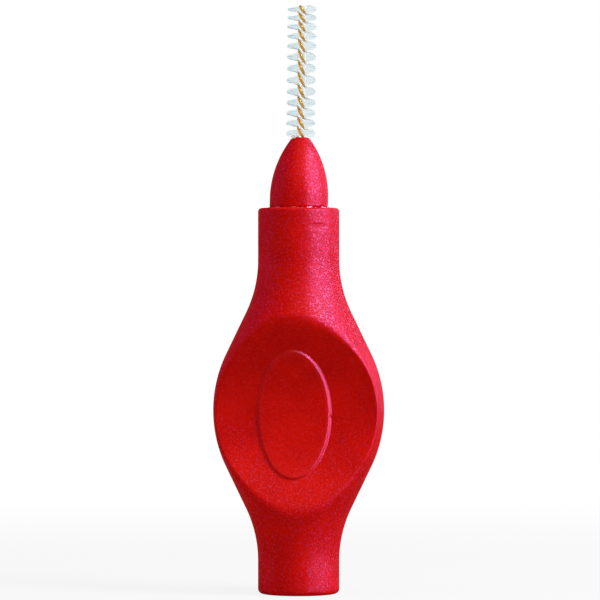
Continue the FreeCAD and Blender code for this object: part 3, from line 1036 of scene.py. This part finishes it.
@dataclass
class FilamentSpiral:
    """Fine clear filaments, each held at its middle between the strands."""

    twist: WireTwist
    nodes: list[str]
    length: float = 2.45 * MM
    thickness: float = 0.045 * MM
    sides: int = 4
    cuts: int = 9
    per_half_turn: int = 46
    lowest: float = 0.06 * MM
    highest: float = 0.12 * MM
    turn_scatter: float = 5.0
    length_scatter: float = 0.03
    longest: float = 0.2
    sag_scatter: float = 0.05 * MM
    droop: float = 0.2 * MM
    droop_height: float = 0.5 * MM
    seed: int = 7
    smooth_angle: float = 60.0

    def pattern(self) -> bpy.types.Object:
        """One straight filament along X, with a few rings to bend at."""
        object_mode_alone()
        along_x = (0, math.pi / 2, 0)
        radius = self.thickness / 2
        bpy.ops.mesh.primitive_cylinder_add(
            vertices=self.sides, radius=radius, depth=self.length, rotation=along_x, end_fill_type="NGON"
        )
        piece = bpy.context.object
        bpy.ops.object.transform_apply(location=True, rotation=True, scale=True)
        cut_along(piece, 0, self.cuts)
        return piece

    def heights(self) -> list[float]:
        """Height of each filament along the wire."""
        step = self.twist.half_turn / self.per_half_turn
        low = self.twist.tip + self.lowest
        count = int((self.twist.top - self.highest - low) / step)
        return [low + index * step for index in range(count + 1)]

    def low_droop(self, height: float) -> float:
        """How far the ends of a filament at a height hang down: only the lowest ones do."""
        return self.droop * max(0.0, 1 - (height - self.twist.tip) / self.droop_height)

    def placed(self, shape: np.ndarray, height: float, chance: random.Random) -> np.ndarray:
        """Turns a copy of the filament with the twist and makes it a little different.

        Args:
            shape: Vertices of the straight filament.
            height: Height of the copy's middle.
            chance: Source of the small differences.

        Returns:
            Vertices of the copy.
        """
        turn = self.twist.angle(height) + math.radians(chance.uniform(-1, 1) * self.turn_scatter)
        across, depth, lift = shape.T.copy()
        across *= 1 + chance.uniform(-1, self.longest) * self.length_scatter
        share = across / (self.length / 2)
        lift += share**2 * chance.uniform(-1, 1) * self.sag_scatter
        depth += share**2 * chance.uniform(-1, 1) * self.sag_scatter
        lift -= share**2 * self.low_droop(height)
        cosine, sine = math.cos(turn), math.sin(turn)
        turned = np.column_stack((across * cosine - depth * sine, across * sine + depth * cosine, lift))
        return turned + np.array(self.twist.middle(height))

    def build(self, finish: bpy.types.Material) -> bpy.types.Object:
        """Copies the filament up the twist, each copy a little different.

        Args:
            finish: Material of the filaments.

        Returns:
            All filaments as one piece.
        """
        chance = random.Random(self.seed)
        pattern = self.pattern()
        shape = mesh_points(pattern)
        faces = [tuple(face.vertices) for face in pattern.data.polygons]
        bpy.data.objects.remove(pattern)
        copies = [self.placed(shape, height, chance) for height in self.heights()]
        starts = range(0, len(copies) * len(shape), len(shape))
        all_faces = [tuple(corner + start for corner in face) for start in starts for face in faces]
        mesh = bpy.data.meshes.new("filament_spiral")
        mesh.from_pydata(np.vstack(copies).tolist(), [], all_faces)
        mesh.validate()
        piece = bpy.data.objects.new("filament_spiral", mesh)
        bpy.context.collection.objects.link(piece)
        mark_points(piece, END_SHARE, np.tile(np.abs(shape[:, 0]) / (self.length / 2), len(copies)))
        dress(piece, finish, self.smooth_angle)
        self.twist.bend(piece)
        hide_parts(*self.nodes)
        return piece


# The studio

class LampColour(Enum):
    """Colours of the lamps."""

    NEUTRAL = (1.0, 0.97, 1.0)
    PINK = (0.75, 0.34, 1.0)
    VIOLET = (0.1, 0.0, 0.6)
    COOL = (0.35, 0.42, 1.0)
    YELLOW = (1.0, 1.0, 0.6)


@dataclass
class SoftLamp:
    """A soft lamp that looks at the middle of the object, placed by its angles in degrees from the front."""

    name: str
    azimuth: float
    elevation: float
    power: float
    colour: LampColour = LampColour.NEUTRAL
    gloss_on: list[bpy.types.Object] = field(default_factory=list)
    distance: float = 300.0 * MM
    width: float = 110.0 * MM
    length: float = 110.0 * MM

    def build(self, aim: Vector) -> None:
        """Sets up the lamp, which lights everything, or gives gloss to some pieces alone.

        Args:
            aim: The point that the lamp looks at.
        """
        object_mode_alone()
        turn = math.radians(self.azimuth)
        rise = math.radians(self.elevation)
        away = Vector((math.sin(turn) * math.cos(rise), -math.cos(turn) * math.cos(rise), math.sin(rise)))
        bpy.ops.object.light_add(type="AREA", location=aim + away * self.distance)
        lamp = bpy.context.object
        lamp.name = self.name
        lamp.rotation_euler = (-away).to_track_quat("-Z", "Y").to_euler()
        lamp.visible_diffuse = not self.gloss_on
        lamp.visible_camera = False
        lamp.visible_transmission = False
        if self.gloss_on:
            lit = bpy.data.collections.new(self.name)
            for piece in self.gloss_on:
                lit.objects.link(piece)
            lamp.light_linking.receiver_collection = lit
        lamp.data.shape = "RECTANGLE"
        lamp.data.size = self.width
        lamp.data.size_y = self.length
        lamp.data.energy = self.power
        lamp.data.color = self.colour.value


@dataclass
class GlossLamp(SoftLamp):
    """A wide, tall lamp for gloss alone."""

    width: float = 300.0 * MM
    length: float = 450.0 * MM


@dataclass
class Studio:
    """Pale floor, white surroundings, soft lamps and the camera."""

    aim_height: float = 24.44 * MM
    aim_right: float = 0.11 * MM
    azimuth: float = 6.0
    distance: float = 300.0 * MM
    view_width: float = 50.0 * MM
    sensor: float = 36.0
    floor_size: float = 4.0
    floor_gap: float = 0.02 * MM
    floor_white: float = 0.86
    white_from: float = 40.0 * MM
    white_by: float = 150.0 * MM
    surroundings: float = 0.57
    floor_colour: Colour = (0.48, 0.48, 0.49, 1.0)

    def floor(self) -> None:
        """A wide pale floor that shows white to the camera and still takes the shadow."""
        object_mode_alone()
        bpy.ops.mesh.primitive_plane_add(size=self.floor_size, location=(0, 0, 0))
        floor = bpy.context.object
        floor.name = "studio_floor"
        floor.data.transform(Matrix.Translation((0, 0, -self.floor_gap)))
        material, nodes, surface = new_material("pale_floor")
        material.node_tree.nodes.remove(surface)
        output = material.node_tree.nodes["Material Output"]
        matt = nodes.add("ShaderNodeBsdfDiffuse", {"Color": self.floor_colour}).outputs["BSDF"]
        white = nodes.add("ShaderNodeEmission").outputs["Emission"]
        place = nodes.add("ShaderNodeTexCoord").outputs["Object"]
        reach = nodes.add("ShaderNodeVectorMath", {0: place}, operation="LENGTH").outputs["Value"]
        limits = {"From Min": self.white_from, "From Max": self.white_by, "To Min": self.floor_white}
        fade = nodes.mapped(reach, limits, interpolation_type="SMOOTHSTEP")
        share = nodes.reckoned("MULTIPLY", self.seen(nodes), fade)
        mix = nodes.add("ShaderNodeMixShader", {"Fac": share, 1: matt, 2: white})
        nodes.fill(output, {"Surface": mix.outputs["Shader"]})
        give_finish(floor, material)

    def seen(self, nodes: NodeTree) -> Socket:
        """Masks the rays that see the surroundings: camera, glossy and transmission rays.

        Args:
            nodes: The nodes to add the mask to.

        Returns:
            The mask.
        """
        rays = nodes.add("ShaderNodeLightPath").outputs
        reflected = nodes.reckoned("MAXIMUM", rays["Is Camera Ray"], rays["Is Glossy Ray"])
        return nodes.reckoned("MAXIMUM", reflected, rays["Is Transmission Ray"])

    def world(self) -> None:
        """White surroundings for what is seen, and a plain even light from all round."""
        world = bpy.data.worlds.new("studio")
        world.use_nodes = True
        bpy.context.scene.world = world
        nodes = NodeTree(world.node_tree)
        level = nodes.mapped(self.seen(nodes), {"To Min": self.surroundings})
        nodes.fill(world.node_tree.nodes["Background"], {"Color": (1, 1, 1, 1), "Strength": level})

    def camera(self) -> None:
        """A long lens, level, a little to the right of the front."""
        object_mode_alone()
        turn = math.radians(self.azimuth)
        away = Vector((math.sin(turn), -math.cos(turn), 0))
        right = Vector((math.cos(turn), math.sin(turn), 0))
        aim = Vector((0, 0, self.aim_height)) + right * self.aim_right
        bpy.ops.object.camera_add(location=aim + away * self.distance)
        camera = bpy.context.object
        camera.rotation_euler = (-away).to_track_quat("-Z", "Y").to_euler()
        camera.data.sensor_width = self.sensor
        camera.data.lens = self.sensor * self.distance / self.view_width
        camera.data.clip_start = MM
        bpy.context.scene.camera = camera

    def build(self, moulded: list[bpy.types.Object]) -> None:
        """Sets the floor, the surroundings, the lamps and the camera.

        Args:
            moulded: The red pieces, which have gloss lamps of their own.
        """
        bpy.context.scene.view_settings.view_transform = "Standard"
        self.floor()
        self.world()
        aim = Vector((0, 0, self.aim_height))
        # Name, azimuth, elevation, power and colour of each lamp.
        lamps = (
            SoftLamp("key_lamp", 68, 42, 0.98),
            GlossLamp("gloss_lamp", 71, 14, 44.0, LampColour.PINK, moulded, width=350 * MM),
            GlossLamp("left_gloss", -95, 10, 3.0, LampColour.VIOLET, moulded),
            GlossLamp("edge_gloss", 128, 20, 9.0, LampColour.COOL, moulded),
            GlossLamp("top_gloss", 20, 55, 1.0, LampColour.YELLOW, moulded, length=300 * MM),
            SoftLamp("fill_lamp", -85, 10, 0.14, distance=350 * MM, width=220 * MM, length=220 * MM),
        )
        for lamp in lamps:
            lamp.build(aim)
        self.camera()


def main() -> None:
    """Builds the brush from the grip to the filaments, then the studio."""
    logging.basicConfig(level=logging.INFO, format="%(name)s: %(message)s")
    grip_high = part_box("grip_handle")[1]
    nose_low, nose_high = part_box("nose_core")
    wire_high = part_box("wire_stem")[1]
    soft_red = MouldedRed("soft_red").material()
    nose_red = MouldedRed("nose_red", sheen_roughness=0.34).material()
    flash_red = MouldedRed("flash_red", sheen=0.9, fleck_sheen=1.0, sheen_roughness=0.22).material()
    gold = GoldWire().material()
    nylon = ClearNylon().material()

    grip = SoftGrip(top=grip_high[2], belly_radius=grip_high[0], nose_bottom=nose_low[2])
    pieces = [grip.build(soft_red)]
    oval = OvalPad(dish=grip.dish)
    pieces += [oval.build(face, soft_red) for face in Face]
    pieces.append(MouthFlash(collar=grip_high[2]).build(flash_red))
    lean = SideLean(foot=grip_high[2], tip=nose_high[2])
    pieces.append(BulletNose(lean, collar=grip_high[2], tip=nose_high[2], bottom=nose_low[2]).build(nose_red))
    moulded = list(pieces)
    twist = WireTwist(lean, tip=nose_high[2], top=wire_high[2])
    pieces.append(TwistedWire(twist).build(gold))
    tufts = [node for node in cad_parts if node.startswith("filament_tuft")]
    pieces.append(FilamentSpiral(twist, tufts).build(nylon))
    # The packed roots glow with painted light, so that they read white between the strands.
    packed = {"clear": (0.98, 0.98, 0.97, 1.0), "clear_roughness": 0.7, "transmission": 0.0, "painted_glow": 0.3}
    pieces.append(PackedRoots(twist).build(ClearNylon("root_nylon", **packed).material()))
    give_finish(bpy.data.objects["wire_anchor"], gold)
    Studio().build(moulded)
    for piece in pieces:
        LOG.info("%s: %d faces", piece.name, len(piece.data.polygons))


if __name__ == "__main__":
    main()
